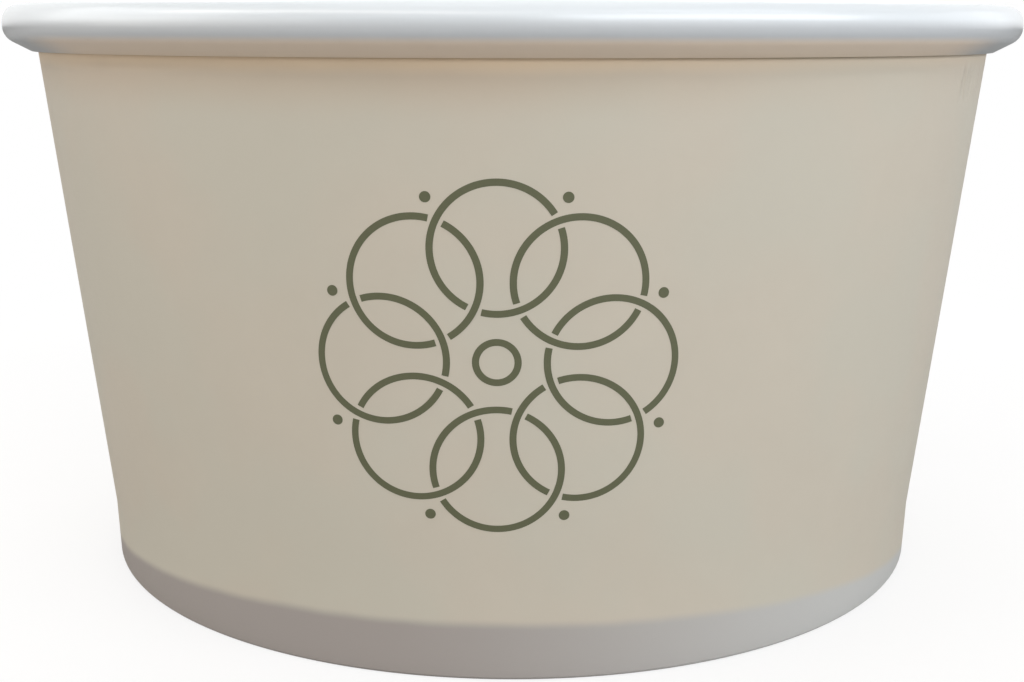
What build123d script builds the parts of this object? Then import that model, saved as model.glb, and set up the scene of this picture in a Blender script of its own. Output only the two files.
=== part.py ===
"""A round paper food bowl: a conical board wall with a rolled rim, and a drawn base clamped in its hem."""

import os
from math import acos, asin, atan2, copysign, cos, degrees, radians, sin, tan

from build123d import *

# Overall sizes, in millimetres
rim_diameter = 116.0
height = 63.5
foot_diameter = 97.8

# Board and glue
wall_board = 0.40
base_board = 0.30
glue_line = 0.03

# Foot: the upright ring at the bottom, where the wall is folded up around the base's skirt
foot_height = 6.5
foot_flare = 2.0
hem_height = 4.1

# Rolled rim: round above and below its side, then sloping down towards the wall, where it turns up
roll_height = 4.9
roll_radius = 1.8
roll_under_turn = 62.0
tuck_radius = 0.4
roll_gap = 0.12

# Side seam at the back: past the inner layer's edge, the outer layer climbs onto it and laps over it
lap_width = 7.0
climb_width = 1.6
groove_depth = 0.25
seam_overlap = 0.05

# Base: a disc whose edge is drawn down into a skirt
recess_depth = 5.6
base_corner = 0.35

# A small bend is drawn as chords that stray about this far from its arc
chord_error = 0.11


def facing(angle):
    """Unit vector in the section at an angle from straight up, positive away from the axis."""
    return Vector(sin(radians(angle)), cos(radians(angle)))


def draw_face(start, heading, bends, depth):
    """Draw one face of a bent sheet and return where it ends.

    Each of the bends is a straight run, a radius and a turn, which is positive to the right. They
    describe the sheet's left face, and the face that is drawn lies depth to the right of it.
    """
    at = start + facing(heading + 90) * depth
    points = [at]
    for run, radius, turn in bends:
        at += facing(heading) * run
        bent_radius = radius - copysign(depth, turn)
        if bent_radius > 0:
            if run:
                points.append(at)
            largest_step = 2 * degrees(acos(max(0, 1 - chord_error / bent_radius)))
            chords = max(1, round(abs(turn) / largest_step))
            half_step = turn / chords / 2
            for i in range(chords):
                direction = facing(heading + (2 * i + 1) * half_step)
                at += direction * 2 * bent_radius * sin(radians(abs(half_step)))
                points.append(at)
        else:
            mitre = bent_radius * tan(radians(turn / 2))
            points.append(at + facing(heading) * mitre)
            at = points[-1] + facing(heading + turn) * mitre
        heading += turn
    Polyline(*points)
    return points[-1]


def draw_sheet(start, heading, bends, near_depth, far_depth):
    """Draw the closed section of a bent sheet between two depths."""
    across = facing(heading + 90)
    Line(start + across * near_depth, start + across * far_depth)
    near_end = draw_face(start, heading, bends, near_depth)
    far_end = draw_face(start, heading, bends, far_depth)
    Line(near_end, far_end)


def section_plane(azimuth):
    """The upright plane at an azimuth that holds a section of the bowl."""
    outwards = Vector(cos(radians(azimuth)), sin(radians(azimuth)))
    return Plane((0, 0, 0), x_dir=outwards, z_dir=(outwards.Y, -outwards.X, 0))


def add_wedge(start, heading, bends, floor, thick, thin, mode):
    """Loft a wedge along the seam, from one depth at the lap's end to another at the climb's end."""
    sections = []
    for azimuth, depth in ((lap_end, thick), (lap_end + climb_angle, thin)):
        with BuildSketch(section_plane(azimuth)) as section:
            with BuildLine():
                draw_sheet(start, heading, bends, floor, depth)
            make_face()
        sections.append(section.sketch.face())
    loft(sections, ruled=True, mode=mode)


# The foot's inner face runs from its corner with the floor of the fold up to the knee
lean = radians(foot_flare)
foot_corner = Vector(foot_diameter / 2 - wall_board * (1 / cos(lean) - tan(lean)), wall_board)
foot_run = (foot_height - wall_board) / cos(lean)
knee = foot_corner + facing(foot_flare) * foot_run

# The wall's inner face runs from the knee to touch the circle of the roll's top
roll_centre = Vector(rim_diameter / 2 - roll_radius, height - roll_radius)
to_roll = roll_centre - knee
slope = atan2(to_roll.X, to_roll.Y) - asin(roll_radius / to_roll.length)
wall_slope = degrees(slope)
wall_run = (to_roll.length**2 - roll_radius**2) ** 0.5

# The tuck is the roll's last bend. It turns up beside the printed face, one gap away from it, and the
# roll's side and its sloping underside take up the room between the last two bends
under_turn = radians(roll_under_turn)
tuck_turn = 180 - roll_under_turn + wall_slope
tuck_drop = roll_height - roll_radius - tuck_radius
tuck_room = roll_radius - wall_board - roll_gap - tuck_radius
tuck_inset = (tuck_room + tuck_drop * sin(slope)) / cos(slope)
spare_radius = roll_radius - tuck_radius
under_run = (tuck_inset + spare_radius * cos(under_turn)) / sin(under_turn)
roll_side = tuck_drop - spare_radius * sin(under_turn) - under_run * cos(under_turn)

# The hem stands parallel to the foot, with the base's skirt glued in between
skirt_room = (base_board + 2 * glue_line) / cos(lean)
hem_run = (hem_height - wall_board) / cos(lean)
hem_edge = foot_corner - Vector(skirt_room, 0) + facing(foot_flare) * hem_run

# Azimuths about the bowl's axis, with the lap's middle at the back
lap_angle = degrees(lap_width / roll_centre.X)
climb_angle = degrees(climb_width / roll_centre.X)
lap_start = 90 - lap_angle / 2
lap_end = lap_start + lap_angle

with BuildPart() as side_wall:
    with BuildSketch(Plane.XZ):
        with BuildLine():
            sheet_bends = [
                (hem_run, 0, -90 - foot_flare),
                (skirt_room, 0, foot_flare - 90),
                (foot_run, 0, wall_slope - foot_flare),
                (wall_run, roll_radius, 90 - wall_slope),
                (0, roll_radius, 90),
                (roll_side, roll_radius, roll_under_turn),
                (under_run, tuck_radius, tuck_turn),
            ]
            draw_sheet(hem_edge, 180 + foot_flare, sheet_bends, 0, wall_board)
        make_face()
    revolve(axis=Axis.Z)
    lap_top = roll_centre.Y - tuck_drop + wall_board
    lap_bends = [
        (foot_run, 0, wall_slope - foot_flare),
        ((lap_top - knee.Y) / cos(slope), 0, 0),
    ]
    lap_floor = wall_board - seam_overlap
    with BuildSketch(section_plane(lap_start)):
        with BuildLine():
            draw_sheet(foot_corner, foot_flare, lap_bends, lap_floor, 2 * wall_board)
        make_face()
    revolve(axis=Axis.Z, revolution_arc=lap_angle)
    add_wedge(foot_corner, foot_flare, lap_bends, lap_floor, 2 * wall_board, wall_board, Mode.ADD)
    groove_foot = knee + facing(wall_slope) * groove_depth
    groove_bends = [(wall_run - 2 * groove_depth, 0, 0)]
    add_wedge(groove_foot, wall_slope, groove_bends, -seam_overlap, groove_depth, 0, Mode.SUBTRACT)

with BuildPart() as base_disc:
    with BuildSketch(Plane.XZ):
        with BuildLine():
            skirt_edge = foot_corner + facing(foot_flare) * glue_line
            skirt_edge -= facing(foot_flare + 90) * (glue_line + base_board)
            corner_tangent = base_corner * tan(radians(45 + foot_flare / 2))
            skirt_run = (recess_depth - skirt_edge.Y) / cos(lean)
            disc_run = skirt_edge.X + skirt_run * sin(lean) - corner_tangent
            base_bends = [
                (skirt_run - corner_tangent, base_corner, -90 - foot_flare),
                (disc_run, 0, 0),
            ]
            draw_sheet(skirt_edge, foot_flare, base_bends, 0, base_board)
        make_face()
    revolve(axis=Axis.Z)

os.makedirs("parts", exist_ok=True)
for name, piece in {"side_wall": side_wall, "base_disc": base_disc}.items():
    piece.part.label = name
    export_step(piece.part, f"parts/{name}.step")
    box = piece.part.bounding_box()
    print(f"{name}: {piece.part.volume / 1000:.3f} cm3, {box.size}, lowest at {box.min.Z:.3f}")
print(f"wall slope {wall_slope:.3f} degrees, roll's side {roll_side:.3f}, its underside {under_run:.3f}")
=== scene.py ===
# %% [markdown]
# This scene dresses a round paper food bowl. The real bowl is two pieces of board: a printed sheet that
# is wrapped into a cone, with its top rolled outwards and its foot folded up inside, and a drawn base
# that the fold grips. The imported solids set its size, so they are loaded first and never moved.

# %% Load the solids
from math import asin, atan2, cos, degrees, pi, radians, sin, sqrt, tan

import bmesh
import bpy
from mathutils import Euler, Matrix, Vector


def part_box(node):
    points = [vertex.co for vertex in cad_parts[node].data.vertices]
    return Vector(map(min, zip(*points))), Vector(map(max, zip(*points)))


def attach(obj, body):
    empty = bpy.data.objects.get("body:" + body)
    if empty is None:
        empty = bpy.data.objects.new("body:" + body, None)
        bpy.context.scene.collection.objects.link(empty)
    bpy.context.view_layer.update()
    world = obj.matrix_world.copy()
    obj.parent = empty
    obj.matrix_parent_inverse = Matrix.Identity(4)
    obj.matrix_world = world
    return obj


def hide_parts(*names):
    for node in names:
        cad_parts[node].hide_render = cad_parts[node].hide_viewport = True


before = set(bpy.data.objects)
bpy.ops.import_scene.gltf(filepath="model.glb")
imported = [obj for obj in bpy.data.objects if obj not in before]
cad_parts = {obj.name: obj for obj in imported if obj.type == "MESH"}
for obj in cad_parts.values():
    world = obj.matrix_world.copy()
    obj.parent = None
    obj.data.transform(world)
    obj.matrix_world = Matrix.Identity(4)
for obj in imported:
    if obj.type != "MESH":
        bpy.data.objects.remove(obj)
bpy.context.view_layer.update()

rim_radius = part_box("side_wall")[1].x
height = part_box("side_wall")[1].z
print(f"rim radius {rim_radius * 1000:.2f} mm, height {height * 1000:.2f} mm")

# %% [markdown]
# The photograph was taken from just under the level of the rim, close up, so the base curves strongly
# and the inside stays hidden. The camera's place and lens follow from the outline of the bowl.

# %% Camera
camera_distance = 0.17257
camera_height = 0.06072
camera_pitch = 12.48
camera_roll = 0.1
lens_length = 49.09
nearest_seen = 0.005

scene = bpy.context.scene
scene.view_settings.view_transform = "Standard"
camera = bpy.data.objects.new("camera", bpy.data.cameras.new("camera"))
scene.collection.objects.link(camera)
scene.camera = camera
camera.location = (0, -camera_distance, camera_height)
level_view = Euler((radians(90 - camera_pitch), 0, 0)).to_matrix()
camera.rotation_euler = (level_view @ Euler((0, 0, radians(camera_roll))).to_matrix()).to_euler()
camera.data.lens = lens_length
camera.data.clip_start = nearest_seen
print(f"camera {camera_distance * 1000:.0f} mm in front of the axis, looking {camera_pitch} degrees down")

# %% [markdown]
# Every pattern and every repeat below is a tree of nodes. A small class holds one socket of a tree, so
# that the maths reads as Python: adding or multiplying two of them adds a Math node. Every other node
# comes from its one method, which sets the node up and feeds its sockets.


# %% A class for node trees
class Wire:
    """One socket of a node tree. Arithmetic on wires adds Math nodes to their tree."""

    def __init__(self, tree, socket=None):
        self.tree = tree
        self.socket = socket

    def node(self, kind, inputs=None, output=0, **settings):
        """Add a node, set it up, feed its sockets, and return one of its outputs as a wire."""
        made = self.tree.nodes.new(kind)
        for name, value in settings.items():
            setattr(made, name, value)
        for name, value in (inputs or {}).items():
            if isinstance(value, Wire):
                self.tree.links.new(value.socket, made.inputs[name])
            else:
                made.inputs[name].default_value = value
        return Wire(self.tree, made.outputs[output])

    def maths(self, operation, *values):
        """Add a Math node with this wire first."""
        inputs = dict(enumerate((self, *values)))
        return self.node("ShaderNodeMath", inputs, operation=operation)

    def __add__(self, other):
        return self.maths("ADD", other)

    def __mul__(self, other):
        return self.maths("MULTIPLY", other)

    def __sub__(self, other):
        return self.maths("SUBTRACT", other)

    def __rsub__(self, other):
        return self.maths("MULTIPLY", -1).maths("ADD", other)

    def __truediv__(self, other):
        return self.maths("DIVIDE", other)

    __radd__ = __add__
    __rmul__ = __mul__

    def rise(self, low, high):
        """A smooth step from 0 where this wire is at low to 1 where it is at high."""
        inputs = {"Value": self, "From Min": low, "From Max": high}
        return self.node("ShaderNodeMapRange", inputs, interpolation_type="SMOOTHSTEP")

    def hill(self, foot, top, edge, end):
        """A smooth rise from foot to top, and a fall from the top's other edge to its end."""
        return self.rise(foot, top) * (1 - self.rise(edge, end))


print("sums and products of wires add Math nodes to their tree")

# %% [markdown]
# A geometry tree gets named inputs for its sizes. It is put on an empty mesh as a modifier, its inputs
# are set by their identifiers, and the result is read back as a plain mesh, so that nothing on the
# finished piece still has to be worked out.


# %% Helpers for geometry trees
def new_tree(name, sockets):
    """Start a geometry tree with these input sockets, and return it with a wire for each input."""
    tree = bpy.data.node_groups.new(name, "GeometryNodeTree")
    tree.interface.new_socket("Geometry", in_out="OUTPUT", socket_type="NodeSocketGeometry")
    for title, kind in sockets.items():
        tree.interface.new_socket(title, in_out="INPUT", socket_type="NodeSocket" + kind)
    entry = tree.nodes.new("NodeGroupInput")
    return tree, {title: Wire(tree, entry.outputs[title]) for title in sockets}


def end_tree(result):
    """Realize what a tree made and pass it out of the tree."""
    real = result.node("GeometryNodeRealizeInstances", {"Geometry": result})
    exit_node = result.tree.nodes.new("NodeGroupOutput")
    result.tree.links.new(real.socket, exit_node.inputs["Geometry"])
    print(f"{result.tree.name}: a tree of {len(result.tree.nodes)} nodes")


def grow(name, tree, values):
    """Run a tree with these input values and return what it makes as an object with a plain mesh."""
    piece = bpy.data.objects.new(name, bpy.data.meshes.new(name + "_seed"))
    scene.collection.objects.link(piece)
    modifier = piece.modifiers.new("grow", "NODES")
    modifier.node_group = tree
    for item in tree.interface.items_tree:
        if item.in_out == "INPUT" and item.name in values:
            modifier[item.identifier] = values[item.name]
    shown = piece.evaluated_get(bpy.context.evaluated_depsgraph_get())
    mesh = bpy.data.meshes.new_from_object(shown)
    piece.modifiers.clear()
    piece.data = mesh
    mesh.name = name
    triangles = sum(len(face.vertices) - 2 for face in mesh.polygons)
    print(f"{name}: {len(mesh.vertices)} points, {triangles} triangles")
    return piece


print("a tree is started with its inputs, ended, and grown into a plain mesh")

# %% [markdown]
# The board's sizes repeat those of the solids: two thicknesses of board, the folded foot, and the roll.

# %% Sizes of the board
wall_board = 0.40e-3
base_board = 0.30e-3
glue_line = 0.03e-3
foot_radius = 48.9e-3
foot_height = 6.5e-3
foot_flare = radians(2)
hem_height = 4.1e-3
roll_height = 4.9e-3
roll_radius = 1.8e-3
under_turn = radians(62)
tuck_radius = 0.4e-3
roll_gap = 0.12e-3
recess_depth = 5.6e-3
base_corner = 0.35e-3
print(f"wall of {wall_board * 1000:.2f} mm board, base of {base_board * 1000:.2f} mm board")

# %% [markdown]
# The wall leans outwards by the angle at which it runs from the knee, where the foot ends, to touch the
# circle of the roll's top. The colours need that angle as much as the shape does, so it comes first.


# %% The wall's slope
def facing(angle):
    """Unit vector (outwards, up) at an angle from straight up, positive away from the axis."""
    return Vector((sin(angle), cos(angle)))


foot_corner = Vector((foot_radius - wall_board * (1 / cos(foot_flare) - tan(foot_flare)), wall_board))
foot_run = (foot_height - wall_board) / cos(foot_flare)
knee = foot_corner + facing(foot_flare) * foot_run
roll_centre = Vector((rim_radius - roll_radius, height - roll_radius))
to_roll = roll_centre - knee
slope = atan2(to_roll.x, to_roll.y) - asin(roll_radius / to_roll.length)
print(f"the wall leans {degrees(slope):.2f} degrees outwards")

# %% [markdown]
# Board is matt where it is printed and satin where it carries the thin film that keeps food off it. Each
# finish is a material of its own. Its colours are written as they look on a screen, and turned into the
# linear numbers that a renderer counts in.


# %% Helpers that start a finish
def shade(red, green, blue):
    """A colour as it is named on a screen, from 0 to 255, as Blender's linear numbers."""
    levels = [part / 255 for part in (red, green, blue)]
    return tuple(x / 12.92 if x <= 0.04045 else ((x + 0.055) / 1.055) ** 2.4 for x in levels)


def start_finish(title):
    """Start a material and return it, with a wire on a point's place on the piece."""
    material = bpy.data.materials.new(title)
    material.use_nodes = True
    material.node_tree.nodes.clear()
    return material, Wire(material.node_tree).node("ShaderNodeTexCoord", output="Object")


print("a finish starts from the place of a point on its piece")

# %% [markdown]
# Every finish gets faint clouds of tone and the grain of pressed fibres. The fibres lie mostly round the
# bowl, so these patterns run on azimuth and height, as if the sheet were unrolled, and not on plain
# coordinates, in which they would shear where the wall turns away.

# %% Helpers for patterns
MEAN_RADIUS = 0.053


def unroll(here):
    """Return wires on a point's place on the unrolled sheet, its height, and its turn from the front."""
    x, y, z = (here.node("ShaderNodeSeparateXYZ", {0: here}, axis) for axis in "XYZ")
    from_front = x.maths("ARCTAN2", y * -1)
    unrolled = here.node("ShaderNodeCombineXYZ", {0: from_front * MEAN_RADIUS, 1: z})
    return unrolled, z, from_front


def cloud(place, size, detail=2, stretch=(1, 1, 1)):
    """Noise from 0 to 1 with features of about this size, which may be stretched along an axis."""
    scaled = place.node("ShaderNodeVectorMath", {0: place, 1: stretch}, operation="DIVIDE")
    inputs = {"Vector": scaled, "Scale": 1 / size, "Detail": detail}
    return place.node("ShaderNodeTexNoise", inputs, "Fac")


def blend(factor, first, second):
    """Mix two colours, each a wire or a plain colour."""
    colours = {0: factor}
    for index, colour in ((6, first), (7, second)):
        colours[index] = colour if isinstance(colour, Wire) else (*colour, 1)
    return factor.node("ShaderNodeMix", colours, 2, data_type="RGBA")


print(f"patterns run round the bowl at a radius of {MEAN_RADIUS * 1000:.0f} mm")

# %% [markdown]
# One shader does for every finish. The relief is written in metres and goes through a Bump node, which
# turns it into a tilt of the surface. The film is the shader's coat, a little rough, as pressed film is.

# %% Helper that ends a finish
FILM_ROUGHNESS = 0.25


def end_finish(material, colour, roughness, relief, coat=0.0):
    """Give a material its surface: colour, roughness, a relief in metres, and how much film it has."""
    bump = relief.node("ShaderNodeBump", {"Height": relief, "Distance": 1.0, "Strength": 1.0})
    surface = colour.node(
        "ShaderNodeBsdfPrincipled",
        {
            "Base Color": colour,
            "Roughness": roughness,
            "Normal": bump,
            "Coat Weight": coat,
            "Coat Roughness": FILM_ROUGHNESS,
        },
    )
    exit_node = material.node_tree.nodes.new("ShaderNodeOutputMaterial")
    material.node_tree.links.new(surface.socket, exit_node.inputs["Surface"])
    print(f"finish {material.name}: {len(material.node_tree.nodes)} nodes")
    return material


print("a finish ends in one shader with colour, roughness, relief and film")

# %% [markdown]
# The outside is printed beige. Along the foot, about as high as the base's skirt behind the sheet, runs a
# grey stripe. The sheet is a fan-shaped blank and the stripe lies straight across it, so on the rolled cone
# it is highest at the front, gets lower towards the sides, and has run off the blank's edge at the back.
# It could be drawn level, but the photograph shows it narrow at both sides. The stripe's grey is painted
# shading: darker at the left and paler at the right, where the lamps hang. Its edge wavers and is a little
# soft.

# %% The foot's stripe
SHADED_LEFT_GREY = shade(157, 150, 145)
LIT_RIGHT_GREY = shade(188, 188, 185)
stripe_height = 5.8e-3
stripe_blur = 1.2e-3
stripe_waver = 0.5e-3
stripe_turn = 0.09
blank_radius = foot_radius / sin(slope)

printed, here = start_finish("printed_paper")
unrolled, z, from_front = unroll(here)
level = z + cloud(unrolled, 9e-3) * stripe_waver - stripe_waver / 2
blank_turn = (from_front + stripe_turn) * sin(slope)
across_blank = level + blank_radius * (1 - blank_turn.maths("COSINE"))
above_stripe = across_blank.rise(stripe_height - stripe_blur / 2, stripe_height + stripe_blur / 2)
# Painted shading: the stripe's grey is darker at the left and paler at the right, where the lamps hang.
shaded_foot_grey = blend(from_front.rise(-0.3, 0.9), SHADED_LEFT_GREY, LIT_RIGHT_GREY)
print(f"stripe {stripe_height * 1000:.1f} mm high, on a blank of {blank_radius * 1000:.0f} mm radius")

# %% [markdown]
# The beige has broad and fine clouds, and patches that lean to green. Under the roll a warmer beige is
# painted in, as painted bounce light caught between roll and wall, with a thin painted glow right below.
# That painted light fades to the right, where the wall faces the lamp, and at the back.

# %% The beige print, with painted bounce light under the roll
BEIGE = shade(197, 189, 174)
DULL_BEIGE = shade(190, 182, 167)
GREEN_BEIGE = shade(190, 187, 173)
BOUNCE_LIT_BEIGE = shade(186, 166, 143)
PAINTED_GLOW_BEIGE = shade(222, 200, 170)
bounce_middle = -0.7
bounce_loss = 0.7

# Painted bounce light under the roll: a warmer beige and a thin painted glow, fading to the right and at
# the back.
painted_bounce_share = 1 - (from_front - bounce_middle).maths("ABSOLUTE").rise(0.6, 1.4) * bounce_loss
painted_bounce = level.rise(height - 2.2 * roll_height, height - 1.1 * roll_height) * painted_bounce_share
painted_glow = level.rise(height - 1.35 * roll_height, height - roll_height) * painted_bounce_share
tone = cloud(unrolled, 14e-3) * 0.6 + cloud(unrolled, 3e-3) * 0.4
body = blend(tone, BEIGE, DULL_BEIGE)
body = blend(cloud(unrolled, 20e-3).rise(0.4, 0.6) * 0.5, body, GREEN_BEIGE)
body = blend(painted_bounce * 0.6, body, BOUNCE_LIT_BEIGE)
body = blend(painted_glow, body, PAINTED_GLOW_BEIGE)
print_colour = blend(above_stripe, shaded_foot_grey, body)
print(f"the print's colours take {len(printed.node_tree.nodes)} nodes")

# %% [markdown]
# The printed face is matt with a fine grain round the bowl. A few short upright creases stand at the
# right, where the roll has pinched the sheet. They are noise stretched upwards, kept to a small patch.

# %% Grain and creases of the printed side
grain_depth = 6e-6
ripple_depth = 1.5e-5
crease_depth = 6e-4

fibres = cloud(unrolled, 0.35e-3, 3, (3, 1, 1))
pinched = from_front.hill(0.95, 1.0, 1.1, 1.16)
pinched = pinched * z.hill(height - 10.5e-3, height - 8.5e-3, height - 7e-3, height - 5.5e-3)
creases = (cloud(unrolled, 0.9e-3, 2, (1, 7, 1)) - 0.5) * pinched
relief = fibres * grain_depth + cloud(unrolled, 2.5e-3) * ripple_depth + creases * crease_depth
printed_paper = end_finish(printed, print_colour, 0.42 + 0.12 * fibres, relief)

# %% [markdown]
# The inside is bare white board under a clear film, and the roll shows this side of the sheet. The roll
# is painted lighter on its top and greyer low on its side, a painted shade where it turns downwards, and
# under the roll a warm colour is painted as the bounce light of the beige wall next to it, but only at the
# front, since both limbs stay cool in the photograph.

# %% Colours of the food side, with painted shade and bounce light on the roll
INSIDE_WHITE = shade(226, 230, 232)
INSIDE_DULL = shade(220, 225, 228)
SHADED_ROLL_SIDE = shade(188, 192, 195)
LIT_ROLL_TOP = shade(206, 212, 216)
BOUNCE_LIT_ROLL_UNDER = shade(240, 223, 204)

coated, here = start_finish("coated_paper")
unrolled, z, from_front = unroll(here)
from_axis = here.node("ShaderNodeVectorMath", {0: here, 1: (1, 1, 0)}, operation="MULTIPLY")
from_axis = from_axis.node("ShaderNodeVectorMath", {0: from_axis}, "Value", operation="LENGTH")
tone = cloud(unrolled, 11e-3) * 0.5 + cloud(here, 1.2e-3) * 0.5
inside = blend(tone, INSIDE_WHITE, INSIDE_DULL)
# Painted shade: the roll is lighter on its top and greyer low on its side, where it faces down.
on_top = z.rise(height - 2.5e-3, height - 1.4e-3)
rolled = blend(on_top + tone * 0.1, SHADED_ROLL_SIDE, LIT_ROLL_TOP)
low = 1 - z.rise(height - 3.8e-3, height - 3.0e-3)
under = low * from_axis.rise(rim_radius - 3.6e-3, rim_radius - 3.4e-3)
# Painted bounce light: a warm colour under the roll at the front, from the beige wall next to it.
painted_bounce_share = 1 - from_front.maths("ABSOLUTE").rise(0.8, 1.05)
rolled = blend(under * painted_bounce_share, rolled, BOUNCE_LIT_ROLL_UNDER)
outside = from_axis.rise(rim_radius - 3.2e-3, rim_radius - 1.6e-3).maths("MAXIMUM", under)
coated_colour = blend(outside, inside, rolled)
print(f"the food side's colours take {len(coated.node_tree.nodes)} nodes")

# %% [markdown]
# The film is a coat on the board, dulled under the roll by the die. Fine pleats run along the roll's
# bends, where the board's outer fibres have been stretched. They are noise drawn out upwards too.

# %% Film, grain and pleats of the food side
fibre_depth = 3e-6
pleat_depth = 1.2e-5
swell_depth = 1e-5

fibres = cloud(unrolled, 0.4e-3, 3, (3, 1, 1))
on_roll = z.rise(height - roll_height - 0.3e-3, height - roll_height + 0.8e-3)
pleats = cloud(unrolled, 0.9e-3, 2, (1, 9, 1)) * on_roll
relief = fibres * fibre_depth + pleats * pleat_depth + cloud(here, 3e-3) * swell_depth
coated_paper = end_finish(coated, coated_colour, 0.32 + 0.1 * fibres, relief, coat=1 - under)

# %% [markdown]
# Cut edges and the underside of the base show the board itself, a dull cream with visible fibres.

# %% Bare board
CREAM = shade(231, 227, 218)
DULL_CREAM = shade(217, 212, 201)

bare, here = start_finish("bare_board")
fibres = cloud(here, 0.25e-3, 4)
relief = fibres * 1.5e-5 + cloud(here, 2.2e-3) * 2e-5
bare_board = end_finish(bare, blend(fibres, CREAM, DULL_CREAM), 0.75 + 0.1 * fibres, relief)

# %% [markdown]
# The emblem's ink is an olive green that covers almost evenly, with fine specks where the board drank it.

# %% Ink
OLIVE = shade(84, 87, 63)
PALE_OLIVE = shade(94, 95, 70)

ink, here = start_finish("green_ink")
specks = cloud(here, 0.3e-3, 3)
green_ink = end_finish(ink, blend(specks, OLIVE, PALE_OLIVE), 0.5 + 0.1 * specks, specks * 4e-6)

# %% [markdown]
# The sheet's section is one bent line, drawn as a walk: straight runs and round bends, one after the
# other. The walk follows the food face, and the printed face lies one board thickness to its right. The
# solids draw their bends with few chords, so here they get enough to look round. A slight turn is one
# mitred station.

# %% The walk along a sheet
CHORD_TURN = 12
SLIGHT_TURN = 10


def walk_sheet(start, heading, bends):
    """Walk along a sheet's left face and list (place, heading, how far the right face is, part).

    Each bend is a part's name, a straight run, its steps, a radius and a turn, positive to the right.
    """
    at = start.copy()
    stations = [(at.copy(), heading, 1, bends[0][0])]
    for part, run, steps, radius, turn in bends:
        for _ in range(steps):
            at += facing(heading) * (run / steps)
            stations.append((at.copy(), heading, 1, part))
        if abs(turn) < radians(SLIGHT_TURN):
            if turn:
                stations[-1] = (at.copy(), heading + turn / 2, 1 / cos(turn / 2), part)
            heading += turn
            continue
        chords = round(degrees(abs(turn)) / CHORD_TURN)
        for step in range(chords):
            half = turn / chords / 2
            at += facing(heading + (2 * step + 1) * half) * 2 * radius * sin(abs(half))
            stations.append((at.copy(), heading + (step + 1) * turn / chords, 1, part + "_bend"))
        heading += turn
    return stations


print(f"bends are drawn with a chord for every {CHORD_TURN} degrees or so")

# %% [markdown]
# On the real bowl the sheet's top is rolled outwards over a die until its edge tucks in beside the wall.
# The side of the roll and its sloping underside are straight, and their lengths follow from where the
# tuck has to stand: one gap away from the printed face.

# %% The roll's straight runs
wall_run = sqrt(to_roll.length**2 - roll_radius**2)
tuck_turn = pi - under_turn + slope
tuck_drop = roll_height - roll_radius - tuck_radius
tuck_room = roll_radius - wall_board - roll_gap - tuck_radius
tuck_inset = (tuck_room + tuck_drop * sin(slope)) / cos(slope)
spare_radius = roll_radius - tuck_radius
under_run = (tuck_inset + spare_radius * cos(under_turn)) / sin(under_turn)
roll_side = tuck_drop - spare_radius * sin(under_turn) - under_run * cos(under_turn)
print(f"the roll's side is {roll_side * 1000:.2f} mm, its underside {under_run * 1000:.2f} mm")

# %% [markdown]
# The sheet's foot is folded inwards and up around the base's skirt. The walk starts at that hem's cut
# edge inside the foot and ends at the tuck under the roll.

# %% The wall's section
skirt_room = (base_board + 2 * glue_line) / cos(foot_flare)
hem_run = (hem_height - wall_board) / cos(foot_flare)
hem_edge = foot_corner - Vector((skirt_room, 0)) + facing(foot_flare) * hem_run
wall_walk = walk_sheet(
    hem_edge,
    pi + foot_flare,
    [
        ("hem", hem_run, 6, 0, -pi / 2 - foot_flare),
        ("floor", skirt_room, 1, 0, foot_flare - pi / 2),
        ("foot", foot_run, 4, 0, slope - foot_flare),
        ("wall", wall_run, 8, roll_radius, pi / 2 - slope),
        ("roll", 0, 0, roll_radius, pi / 2),
        ("side", roll_side, 1, roll_radius, under_turn),
        ("under", under_run, 2, tuck_radius, tuck_turn),
    ],
)
print(f"{len(wall_walk)} stations along the wall's sheet")

# %% [markdown]
# The section becomes a mesh of bare edges whose points carry what the sweep needs: how far out and how
# high the point lies, which way is out of the printed face, which face it is on, and how much the side
# seam, the cut edge inside and the pressed ribs of the hem move it. Points at bends fade these in.

# %% A section as points with attributes
CARRIED = ("place_r", "place_z", "out_r", "out_z", "side", "layer", "ditch", "rib")
LAYER = {"hem": 1, "foot": 1, "wall": 1, "wall_bend": 0.5}
ON_ROLL = ("wall_bend", "roll", "roll_bend", "side", "side_bend", "under")
rib_bottom = 0.9e-3
rib_margin = 0.6e-3
under_start = rim_radius - roll_radius * (1 - cos(under_turn))


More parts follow.
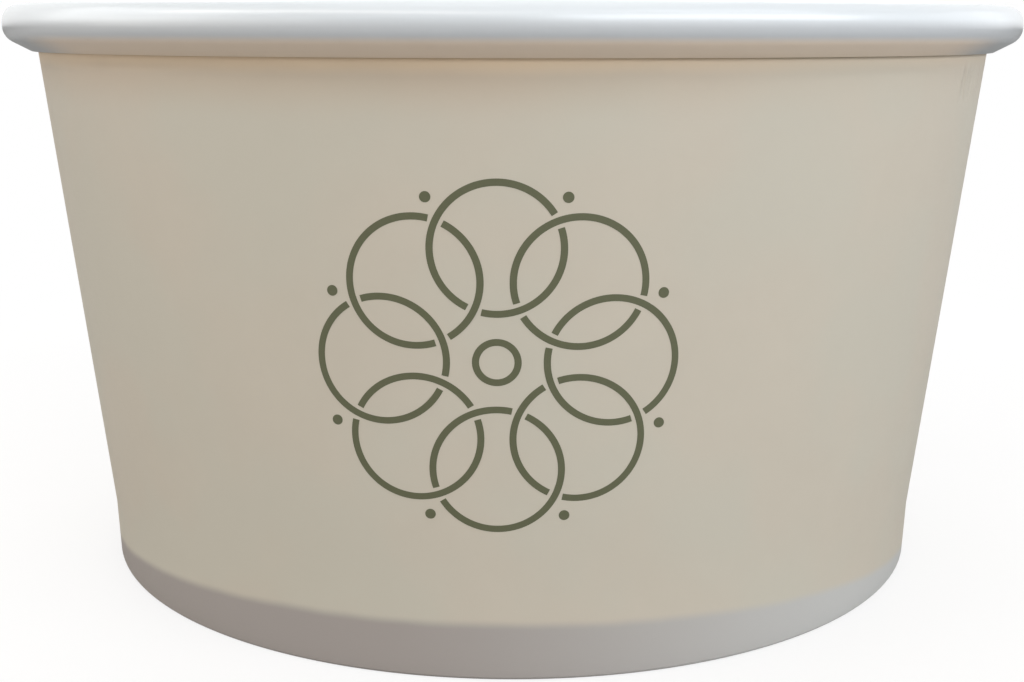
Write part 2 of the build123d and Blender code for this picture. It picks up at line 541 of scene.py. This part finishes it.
def section_object(name, walk, board, ends_on_axis=False):
    """Make an object of the section's edge loop, left face first, then the right face backwards."""
    points = [(place, heading, 0, part, place.x) for place, heading, _, part in walk]
    for place, heading, reach, part in reversed(walk):
        across = facing(heading + pi / 2) * board * reach
        points.append((place + across, heading, 1, part, place.x))
    count = len(points)
    edges = [(i, (i + 1) % count) for i in range(count)]
    if ends_on_axis:
        edges.remove((len(walk) - 1, len(walk)))
    mesh = bpy.data.meshes.new(name)
    mesh.from_pydata([(place.x, 0, place.y) for place, *_ in points], edges, [])
    values = {title: [] for title in CARRIED}
    for place, heading, side, part, station in points:
        out = facing(heading + pi / 2)
        layer = LAYER.get(part, 0) if side and place.y > wall_board / 2 else 0
        if part in ("under", "under_bend"):
            out = facing(slope + pi / 2)
            layer = min(1, (under_start - station) / (under_run * sin(under_turn)))
        ribbed = side and part == "hem" and rib_bottom < place.y < hem_height - rib_margin
        ditch = 1 if part == "wall" else 0.5 if part in ON_ROLL else 0
        values["place_r"].append(max(0, place.x))
        values["place_z"].append(place.y)
        values["out_r"].append(out.x)
        values["out_z"].append(out.y)
        values["side"].append(side)
        values["layer"].append(layer)
        values["ditch"].append(0 if side else ditch)
        values["rib"].append(1 if ribbed else 0)
    for title, numbers in values.items():
        mesh.attributes.new(title, "FLOAT", "POINT").data.foreach_set("value", numbers)
    made = bpy.data.objects.new(name, mesh)
    scene.collection.objects.link(made)
    print(f"{name}: {count} points")
    return made


wall_section = section_object("wall_section", wall_walk, wall_board)

# %% [markdown]
# The seam is where the blank's two ends lap. The outer layer's cut edge is a step on the outside, and
# the inner layer's cut edge is a lower step inside, past which the sheet climbs back.

# %% Sizes of the side seam
lap_width = 7.0e-3
climb_width = 1.6e-3
ditch_depth = 0.25e-3
lap_angle = lap_width / roll_centre.x
climb_angle = climb_width / roll_centre.x
lap_start = pi / 2 - lap_angle / 2
lap_end = lap_start + lap_angle
print(f"lap from {degrees(lap_start):.2f} to {degrees(lap_end):.2f} degrees")

# %% [markdown]
# The sweep's stations stand evenly round the bowl. A close pair takes the place of the nearest station
# at each cut edge of the lap, to keep its step crisp.

# %% Stations round the bowl
wall_stations = 720
base_stations = 240
edge_pair = 0.2e-3


def ring_object(name, count, kept=()):
    """Make an object of points round a unit circle, each with its azimuth, and a pair at each cut edge."""
    spacing = 2 * pi / count
    turns = [i * spacing for i in range(count)]
    turns = [a for a in turns if all(abs(a - b) > spacing / 2 for b in kept)]
    turns += [b + side * edge_pair / 2 for b in kept for side in (-1, 1)]
    turns.sort()
    mesh = bpy.data.meshes.new(name)
    edges = [(i, (i + 1) % len(turns)) for i in range(len(turns))]
    mesh.from_pydata([(cos(a), sin(a), 0) for a in turns], edges, [])
    mesh.attributes.new("azimuth", "FLOAT", "POINT").data.foreach_set("value", turns)
    made = bpy.data.objects.new(name, mesh)
    scene.collection.objects.link(made)
    print(f"{name}: {len(turns)} stations")
    return made


wall_ring = ring_object("wall_ring", wall_stations, (lap_start, lap_end))
base_ring = ring_object("base_ring", base_stations)

# %% [markdown]
# The sweep is one geometry tree for both pieces. It reads the section and the ring as objects, and its
# other inputs are the sizes of the seam and the ribs, and a finish for each face and for the cut edges.

# %% Inputs of the sweep
sweep, board = new_tree(
    "sweep_of_board",
    {
        "Section": "Object",
        "Ring": "Object",
        "Lap start": "Float",
        "Lap end": "Float",
        "Climb": "Float",
        "Layer": "Float",
        "Ditch": "Float",
        "Ribs": "Float",
        "Rib depth": "Float",
        "Left finish": "Material",
        "Right finish": "Material",
        "Edge finish": "Material",
    },
)
print(f"the sweep has {len(board)} inputs")

# %% [markdown]
# Curve to Mesh could place the section by itself, but then every station would be alike. Here it only
# joins the section's points round the ring, and both curves' numbers ride along on its points.


# %% Section and ring joined
def line_of(title):
    """The mesh of one of the sweep's two objects, as a curve."""
    mesh = board[title].node("GeometryNodeObjectInfo", {"Object": board[title]}, "Geometry")
    return mesh.node("GeometryNodeMeshToCurve", {"Mesh": mesh})


def carried(title):
    """Read one of the section's or the ring's numbers."""
    return Wire(sweep).node("GeometryNodeInputNamedAttribute", {"Name": title}, data_type="FLOAT")


ring_line = line_of("Ring")
lines = {"Curve": ring_line, "Profile Curve": line_of("Section")}
shell = ring_line.node("GeometryNodeCurveToMesh", lines)
print("the section is joined round the ring")

# %% [markdown]
# Set Position then puts each point in its place from its own numbers: the outer layer stands out between
# the lap's two edges, the food face sinks into the ditch past the lap, and both climb back to the plain
# sheet. The hem's ribs are a cosine round the bowl.

# %% The place of each point
azimuth = carried("azimuth")
past_start = azimuth.maths("GREATER_THAN", board["Lap start"])
past_end = azimuth.maths("GREATER_THAN", board["Lap end"])
climbed = azimuth.rise(board["Lap end"], board["Lap end"] + board["Climb"])
layer = past_start * (1 - climbed) * board["Layer"] * carried("layer")
ditch = past_end * (1 - climbed) * board["Ditch"] * carried("ditch")
rib_wave = (azimuth * board["Ribs"]).maths("COSINE") * 0.5 + 0.5
ribs = rib_wave * board["Rib depth"] * carried("rib")
outwards = layer + ditch - ribs
radius = carried("place_r") + outwards * carried("out_r")
level = carried("place_z") + outwards * carried("out_z")
spots = {0: radius * azimuth.maths("COSINE"), 1: radius * azimuth.maths("SINE"), 2: level}
spot = azimuth.node("ShaderNodeCombineXYZ", spots)
shell = shell.node("GeometryNodeSetPosition", {"Geometry": shell, "Position": spot})
print(f"{len(sweep.nodes)} nodes so far")

# %% [markdown]
# Merging closes the pole of the base and the sharp inner corners of the folds. The side that a point is
# on then picks the finish of its faces: at a cut edge the two sides meet, and the bare board shows.

# %% Finishes on the two faces
merge_distance = 1e-6

shell = shell.node("GeometryNodeMergeByDistance", {"Geometry": shell, "Distance": merge_distance})
side = carried("side")
for title, chosen in (
    ("Edge finish", side.maths("GREATER_THAN", -1)),
    ("Left finish", side.maths("LESS_THAN", 0.25)),
    ("Right finish", side.maths("GREATER_THAN", 0.75)),
):
    inputs = {"Geometry": shell, "Selection": chosen, "Material": board[title]}
    shell = shell.node("GeometryNodeSetMaterial", inputs)
end_tree(shell)

# %% [markdown]
# A finished piece drops the numbers that only the sweep needed. It is shaded smooth, with the folds and
# cut edges kept sharp, and counted: a closed piece has no open edges and a volume like its solid's.

# %% Helper for finished pieces
CREASE_ANGLE = 40


def finish_mesh(piece):
    """Drop the sweep's numbers, shade the piece smooth but for its edges, and check it is closed."""
    mesh = piece.data
    for title in ("azimuth", *CARRIED):
        if title in mesh.attributes:
            mesh.attributes.remove(mesh.attributes[title])
    mesh.shade_smooth()
    mesh.set_sharp_from_angle(angle=radians(CREASE_ANGLE))
    solid = bmesh.new()
    solid.from_mesh(mesh)
    open_edges = sum(not edge.is_manifold for edge in solid.edges)
    print(f"{piece.name}: {solid.calc_volume() * 1e6:.3f} cm3, {open_edges} open edges")
    solid.free()


print(f"pieces are shaded smooth, with creases over {CREASE_ANGLE} degrees kept sharp")

# %% [markdown]
# The wall is the sweep with its lap and its ribs. Pressing the fold onto the skirt leaves fine upright
# ribs in the hem, which can only be seen from below.

# %% The wall
rib_count = 180.0
rib_depth = 0.08e-3

wall = grow(
    "printed_wall",
    sweep,
    {
        "Section": wall_section,
        "Ring": wall_ring,
        "Lap start": lap_start,
        "Lap end": lap_end,
        "Climb": climb_angle,
        "Layer": wall_board,
        "Ditch": ditch_depth,
        "Ribs": rib_count,
        "Rib depth": rib_depth,
        "Left finish": coated_paper,
        "Right finish": printed_paper,
        "Edge finish": bare_board,
    },
)
finish_mesh(wall)
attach(wall, "root")
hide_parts("side_wall")

# %% [markdown]
# The base is a disc whose edge is drawn down into a skirt. Its section starts at the skirt's cut edge,
# beside the foot, and runs up and inwards to the axis.

# %% The base's section
skirt_edge = foot_corner + facing(foot_flare) * glue_line
skirt_edge -= facing(foot_flare + pi / 2) * (glue_line + base_board)
corner_tangent = base_corner * tan(pi / 4 + foot_flare / 2)
skirt_run = (recess_depth - skirt_edge.y) / cos(foot_flare)
disc_run = skirt_edge.x + skirt_run * sin(foot_flare) - corner_tangent
base_walk = walk_sheet(
    skirt_edge,
    foot_flare,
    [
        ("skirt", skirt_run - corner_tangent, 4, base_corner, -pi / 2 - foot_flare),
        ("disc", disc_run, 12, 0, 0),
    ],
)
base_section = section_object("base_section", base_walk, base_board, ends_on_axis=True)

# %% [markdown]
# The base has no lap and no ribs, so the same sweep makes it with those inputs left at zero. Its coated
# side is up, towards the food. The sections and rings have then done their work and are removed.

# %% The base
base = grow(
    "drawn_base",
    sweep,
    {
        "Section": base_section,
        "Ring": base_ring,
        "Left finish": bare_board,
        "Right finish": coated_paper,
        "Edge finish": bare_board,
    },
)
finish_mesh(base)
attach(base, "root")
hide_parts("base_disc")

for helper in (wall_section, base_section, wall_ring, base_ring):
    bpy.data.objects.remove(helper)

# %% [markdown]
# The printed emblem is a chain of eight rings, each over one neighbour and under the other, with a dot
# in each notch and a small ring in the middle. It is ink a few hundredths of a millimetre thick. The
# tree draws it flat, as strips along arcs, and then wraps it round the cone of the wall.

# %% Sizes of the emblem
emblem_height = 32.0e-3
emblem_shift = -1.35e-3
ring_count = 8
ring_radius = 5.9e-3
chain_radius = 10.4e-3
stroke = 0.64e-3
stroke_gap = 0.36e-3
ink_depth = 0.03e-3

emblem, drawing = new_tree(
    "emblem_of_rings",
    {
        "Rings": "Int",
        "Ring radius": "Float",
        "Chain radius": "Float",
        "Stroke": "Float",
        "Gap": "Float",
        "Ink depth": "Float",
        "Cone radius": "Float",
        "Cone slope": "Float",
        "Height": "Float",
        "Shift": "Float",
        "Ink": "Material",
    },
)
print(f"emblem of {ring_count} rings, {2000 * (chain_radius + ring_radius):.1f} mm across")

# %% [markdown]
# Ink is drawn as flat strips swept along arcs. One arc is placed once and then repeated round the
# middle on points, so a change of the ring count changes the whole chain.

# %% Helpers for the emblem
ARC_STEPS = 72


def strip(path):
    """Sweep a flat strip of ink along a curve that lies in the plane."""
    path = path.node("GeometryNodeSetCurveNormal", {"Curve": path}, mode="Z_UP")
    sizes = {"Width": drawing["Stroke"], "Height": drawing["Ink depth"]}
    outline = path.node("GeometryNodeCurvePrimitiveQuadrilateral", sizes)
    inputs = {"Curve": path, "Profile Curve": outline, "Fill Caps": True}
    return path.node("GeometryNodeCurveToMesh", inputs)


def arc(start, sweep_angle):
    """An arc of one ring of the chain, moved out to its place at the right of the emblem."""
    inputs = {"Resolution": ARC_STEPS, "Radius": drawing["Ring radius"], "Start Angle": start}
    inputs["Sweep Angle"] = sweep_angle
    drawn = drawing["Ring radius"].node("GeometryNodeCurveArc", inputs, mode="RADIUS")
    shift = drawn.node("ShaderNodeCombineXYZ", {0: drawing["Chain radius"]})
    return drawn.node("GeometryNodeTransform", {"Geometry": drawn, "Translation": shift})


def around(pattern, offset):
    """Repeat a pattern round the emblem's middle, turned by a share of one step."""
    points = drawing["Rings"].node("GeometryNodePoints", {"Count": drawing["Rings"]})
    turn = (points.node("GeometryNodeInputIndex") + offset) * 2 * pi / drawing["Rings"]
    angle = turn.node("ShaderNodeCombineXYZ", {2: turn})
    inputs = {"Points": points, "Instance": pattern, "Rotation": angle}
    placed = points.node("GeometryNodeInstanceOnPoints", inputs)
    return placed.node("GeometryNodeRealizeInstances", {"Geometry": placed})


def together(*shapes):
    """Join several shapes."""
    tree = shapes[0].tree
    joined = tree.nodes.new("GeometryNodeJoinGeometry")
    for shape in shapes:
        tree.links.new(shape.socket, joined.inputs[0])
    return Wire(tree, joined.outputs[0])


print("helpers for strips, arcs, repeats and joins")

# %% [markdown]
# Two neighbouring rings cross at an outer and an inner point. Each ring is cut into a long and a short
# arc there, with a gap where it dives under its neighbour, which makes the chain look woven.

# %% The chain of rings
half_step = pi / ring_count
middle = chain_radius * cos(half_step)
reach = sqrt(ring_radius**2 - (chain_radius * sin(half_step)) ** 2)
outer_crossing = atan2((middle + reach) * sin(half_step), (middle + reach) * cos(half_step) - chain_radius)
inner_crossing = atan2((middle - reach) * sin(half_step), (middle - reach) * cos(half_step) - chain_radius)
gap_angle = (stroke / 2 + stroke_gap) / ring_radius
long_start = gap_angle - outer_crossing
long_sweep = inner_crossing - gap_angle - long_start
short_start = inner_crossing + gap_angle
short_sweep = 2 * pi - outer_crossing - gap_angle - short_start
rings = around(together(arc(long_start, long_sweep), arc(short_start, short_sweep)), 0)
print(f"rings cross {1000 * (middle - reach):.1f} and {1000 * (middle + reach):.1f} mm from the middle")

# %% [markdown]
# A dot is a flat cylinder, set between two rings and repeated round the middle by half a step more than
# the rings. The small ring in the middle is a strip along a plain circle.

# %% Dots and the middle ring
notch = 16.2e-3
dot_radius = 0.5e-3
dot_sides = 28
hub_radius = 1.9e-3

sizes = {"Vertices": dot_sides, "Radius": dot_radius, "Depth": drawing["Ink depth"]}
dot = drawing["Ink depth"].node("GeometryNodeMeshCylinder", sizes, "Mesh")
dot = dot.node("GeometryNodeTransform", {"Geometry": dot, "Translation": (notch, 0, 0)})
sizes = {"Resolution": ARC_STEPS, "Radius": hub_radius}
hub = drawing["Stroke"].node("GeometryNodeCurvePrimitiveCircle", sizes, mode="RADIUS")
flat = together(strip(rings), around(dot, 0.5), strip(hub))
print(f"dots of {2000 * dot_radius:.1f} mm, {1000 * notch:.1f} mm from the middle")

# %% [markdown]
# The flat drawing is wrapped round the cone: its width becomes azimuth, its height runs up the slope,
# and its thickness stands off the board. The ink is lifted by a fifth of its depth, so that most of it
# stands on the printed face and the rest reaches into the board, with no gap in between.

# %% The emblem wrapped round the wall
ink_lift = 0.2

place = flat.node("GeometryNodeInputPosition")
across, up, off = (place.node("ShaderNodeSeparateXYZ", {0: place}, axis) for axis in "XYZ")
off = off + drawing["Ink depth"] * ink_lift
lean_sine = drawing["Cone slope"].maths("SINE")
lean_cosine = drawing["Cone slope"].maths("COSINE")
cone = drawing["Cone radius"] + up * lean_sine
azimuth = (across + drawing["Shift"]) / cone - pi / 2
radius = cone + off * lean_cosine
level = drawing["Height"] + up * lean_cosine - off * lean_sine
spots = {0: radius * azimuth.maths("COSINE"), 1: radius * azimuth.maths("SINE"), 2: level}
spot = azimuth.node("ShaderNodeCombineXYZ", spots)
wrapped = flat.node("GeometryNodeSetPosition", {"Geometry": flat, "Position": spot})
wrapped = wrapped.node("GeometryNodeSetMaterial", {"Geometry": wrapped, "Material": drawing["Ink"]})
end_tree(wrapped)

# %% [markdown]
# The cone's radius is that of the printed face at the height of the emblem's middle. The emblem takes
# no slot, because it is ink on the wall and no piece of the real bowl.

# %% The emblem
cone_radius = knee.x + (emblem_height - knee.y) * tan(slope) + wall_board / cos(slope)
printed_emblem = grow(
    "printed_emblem",
    emblem,
    {
        "Rings": ring_count,
        "Ring radius": ring_radius,
        "Chain radius": chain_radius,
        "Stroke": stroke,
        "Gap": stroke_gap,
        "Ink depth": ink_depth,
        "Cone radius": cone_radius,
        "Cone slope": slope,
        "Height": emblem_height,
        "Shift": emblem_shift,
        "Ink": green_ink,
    },
)
finish_mesh(printed_emblem)
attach(printed_emblem, "root")

# %% [markdown]
# The bowl stands on a plain white floor, a hair's breadth under it, so that the two never flicker.

# %% Floor
floor_size = 20.0
floor_drop = 2e-5

corner = floor_size / 2
floor_corners = [(-corner, -corner, 0), (corner, -corner, 0), (corner, corner, 0), (-corner, corner, 0)]
floor_mesh = bpy.data.meshes.new("floor")
floor_mesh.from_pydata(floor_corners, [], [(0, 1, 2, 3)])
floor = bpy.data.objects.new("floor", floor_mesh)
floor.location.z = -floor_drop
scene.collection.objects.link(floor)
print(f"floor of {floor_size:.0f} m")

# %% [markdown]
# The camera sees the floor as nearly pure white, with a trace of the bowl's shadow at the foot, while
# the light that it bounces up under the roll is kept modest. A Light Path node tells the two apart.

# %% The floor's finish
bounce_grey = (0.3, 0.3, 0.3, 1)
shadow_grey = (0.9, 0.9, 0.9, 1)
least_white = 0.75
shadow_reach = (0.06, 0.2)

floor_finish = bpy.data.materials.new("white_floor")
floor_finish.use_nodes = True
tree = floor_finish.node_tree
tree.nodes.clear()
start = Wire(tree)
seen = start.node("ShaderNodeLightPath", output="Is Camera Ray")
bounce = start.node("ShaderNodeBsdfDiffuse", {"Color": bounce_grey})
matt = start.node("ShaderNodeBsdfDiffuse", {"Color": shadow_grey})
white = start.node("ShaderNodeEmission", {"Color": (1, 1, 1, 1), "Strength": 1.0})
ground = start.node("ShaderNodeTexCoord", output="Object")
distance = ground.node("ShaderNodeVectorMath", {0: ground}, "Value", operation="LENGTH")
whiteness = least_white + (1 - least_white) * distance.rise(*shadow_reach)
shown = start.node("ShaderNodeMixShader", {0: whiteness, 1: matt, 2: white})
mixed = start.node("ShaderNodeMixShader", {0: seen, 1: bounce, 2: shown})
tree.links.new(mixed.socket, tree.nodes.new("ShaderNodeOutputMaterial").inputs["Surface"])
floor_mesh.materials.append(floor_finish)
print(f"the floor is pure white from {shadow_reach[1] * 1000:.0f} mm outwards")

# %% [markdown]
# The room is dim and a little warm as a light, but the camera and every reflection see it as white.

# %% The room
room_tint = (1.0, 0.96, 0.92)
room_level = 0.42

world = bpy.data.worlds.new("room")
scene.world = world
world.use_nodes = True
tree = world.node_tree
tree.nodes.clear()
start = Wire(tree)
path = start.node("ShaderNodeLightPath", output="Is Camera Ray")
for title in ("Is Glossy Ray", "Is Transmission Ray"):
    path = path.maths("MAXIMUM", start.node("ShaderNodeLightPath", output=title))
room = start.node("ShaderNodeBackground", {"Color": (*room_tint, 1), "Strength": room_level})
backdrop = start.node("ShaderNodeBackground", {"Color": (1, 1, 1, 1), "Strength": 1.0})
mixed = start.node("ShaderNodeMixShader", {0: path, 1: room, 2: backdrop})
tree.links.new(mixed.socket, tree.nodes.new("ShaderNodeOutputWorld").inputs["Surface"])
print(f"a room with a light of {room_level}")

# %% [markdown]
# The lamps do most of the lighting. The wall is lightest at the right, so the strongest lamp hangs
# there, and weaker ones stand at both sides and low at the left. Two long thin lamps give the bright
# line along the roll, and one overhead and one behind light the rim's top and the inside.

# %% Lamps
PLAIN = (1.0, 1.0, 1.0)
COOL = (0.97, 1.0, 1.04)
WARM = (1.05, 0.98, 0.9)
lamp_distance = 0.9


def soft_light(name, azimuth, elevation, power, tint, width, depth):
    """Hang an area light that faces the bowl, at degrees to the right of its front and above its middle."""
    lamp = bpy.data.lights.new(name, "AREA")
    lamp.shape = "RECTANGLE"
    lamp.size = width
    lamp.size_y = depth
    lamp.energy = power
    lamp.color = tint
    hung = bpy.data.objects.new(name, lamp)
    away = Vector((0, -lamp_distance, 0))
    away.rotate(Euler((-radians(elevation), 0, radians(azimuth))))
    hung.location = away + Vector((0, 0, height / 2))
    hung.rotation_euler = (-away).to_track_quat("-Z", "Y").to_euler()
    scene.collection.objects.link(hung)


soft_light("key", 42, 18, 5.1, COOL, 1.1, 0.3)
soft_light("right_strip", 38, 42, 1.1, COOL, 0.9, 0.07)
soft_light("left_strip", -42, 38, 2.2, WARM, 1.3, 0.07)
soft_light("low_left", -65, 4, 1.0, WARM, 1.0, 0.3)
soft_light("right_side", 104, 6, 1.0, COOL, 0.9, 0.6)
soft_light("left_side", -88, 22, 2.4, PLAIN, 0.9, 0.6)
soft_light("overhead", 0, 89, 1.2, PLAIN, 0.8, 0.8)
soft_light("back", 180, 45, 3.2, PLAIN, 0.9, 0.5)
print(f"{len(bpy.data.lights)} soft lights")
